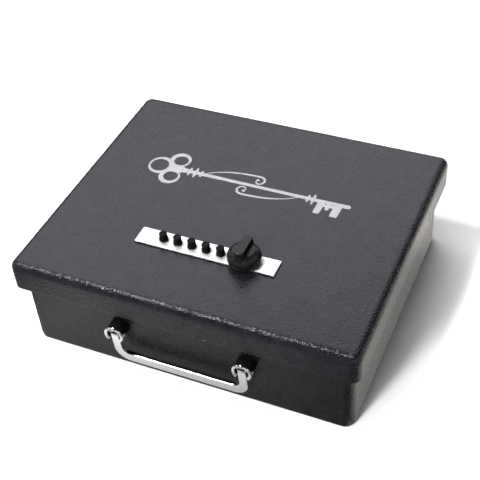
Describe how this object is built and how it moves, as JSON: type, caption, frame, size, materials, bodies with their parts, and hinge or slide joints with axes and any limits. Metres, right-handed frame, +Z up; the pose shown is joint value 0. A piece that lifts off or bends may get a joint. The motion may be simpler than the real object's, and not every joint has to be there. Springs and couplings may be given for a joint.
{
  "type": "cash box",
  "caption": "Low rectangular steel box with an overhanging hinged lid, a push-button combination lock and turning knob on top, and a drop handle on the front.",
  "frame": {"origin": "on the underside of the base, under the middle of the body", "axes": "+Z up, -Y towards the front face with the handle, +X to the right seen from the front"},
  "size_m": [0.318, 0.274, 0.117],
  "materials": {
    "body_paint": "fine wrinkle texture",
    "lid_paint": "fine wrinkle texture",
    "steel": "zinc plated",
    "chrome": "polished",
    "plate": "satin",
    "silver_print": "silver print",
    "black_plastic": "satin"
  },
  "bodies": {
    "box": {"body_shell": "body_paint", "strike": "steel", "hinge_leaf_body": "body_paint", "hinge_pin": "steel", "post_left": "chrome", "post_right": "chrome", "post_pin_left": "chrome", "post_pin_right": "chrome", "post_nut_left": "steel", "post_nut_right": "steel"},
    "lid": {"lid_shell": "lid_paint", "hinge_leaf_lid": "lid_paint", "lid_emblem": "silver_print", "lock_plate": "plate", "lock_case": "steel", "lock_nut_1": "steel", "lock_nut_2": "steel", "bolt_guide_front": "steel", "bolt_guide_rear": "steel", "button_bezel_1": "black_plastic", "button_bezel_2": "black_plastic", "button_bezel_3": "black_plastic", "button_bezel_4": "black_plastic", "button_bezel_5": "black_plastic", "button_spring_1": "steel", "button_spring_2": "steel", "button_spring_3": "steel", "button_spring_4": "steel", "button_spring_5": "steel"},
    "handle": {"bail": "chrome"},
    "knob": {"knob": "black_plastic", "lock_spindle": "steel", "latch_cam": "steel"},
    "bolt": {"latch_bolt": "steel"},
    "push_1": {"button_1": "black_plastic"},
    "push_2": {"button_2": "black_plastic"},
    "push_3": {"button_3": "black_plastic"},
    "push_4": {"button_4": "black_plastic"},
    "push_5": {"button_5": "black_plastic"}
  },
  "joints": [
    {"name": "lid_hinge", "type": "hinge", "parent": "box", "child": "lid", "pos_m": [0, 0.1299, 0.0653], "axis": [-1, 0, 0], "range_deg": [0, 100]},
    {"name": "handle_swing", "type": "hinge", "parent": "box", "child": "handle", "pos_m": [0.002, -0.1355, 0.0505], "axis": [-1, 0, 0], "range_deg": [-6, 95]},
    {"name": "knob_turn", "type": "hinge", "parent": "lid", "child": "knob", "pos_m": [0.0336, -0.0617, 0.0997], "axis": [0, 0, -1], "range_deg": [0, 60], "stiffness_Nm_per_rad": 0.06, "springref_deg": -22.92},
    {"name": "bolt_slide", "type": "slide", "parent": "lid", "child": "bolt", "axis": [0, 1, 0], "range_m": [0, 0.01]},
    {"name": "button_press_1", "type": "slide", "parent": "lid", "child": "push_1", "axis": [0, 0, 1], "range_m": [-0.0015, 0], "stiffness_N_per_m": 300, "springref_m": 0.001, "deforming": ["button_spring_1"]},
    {"name": "button_press_2", "type": "slide", "parent": "lid", "child": "push_2", "axis": [0, 0, 1], "range_m": [-0.0015, 0], "stiffness_N_per_m": 300, "springref_m": 0.001, "deforming": ["button_spring_2"]},
    {"name": "button_press_3", "type": "slide", "parent": "lid", "child": "push_3", "axis": [0, 0, 1], "range_m": [-0.0015, 0], "stiffness_N_per_m": 300, "springref_m": 0.001, "deforming": ["button_spring_3"]},
    {"name": "button_press_4", "type": "slide", "parent": "lid", "child": "push_4", "axis": [0, 0, 1], "range_m": [-0.0015, 0], "stiffness_N_per_m": 300, "springref_m": 0.001, "deforming": ["button_spring_4"]},
    {"name": "button_press_5", "type": "slide", "parent": "lid", "child": "push_5", "axis": [0, 0, 1], "range_m": [-0.0015, 0], "stiffness_N_per_m": 300, "springref_m": 0.001, "deforming": ["button_spring_5"]}
  ],
  "couplings": [
    {"joint": "knob_turn", "follows": "bolt_slide", "rad_per_m": 104.7}
  ]
}
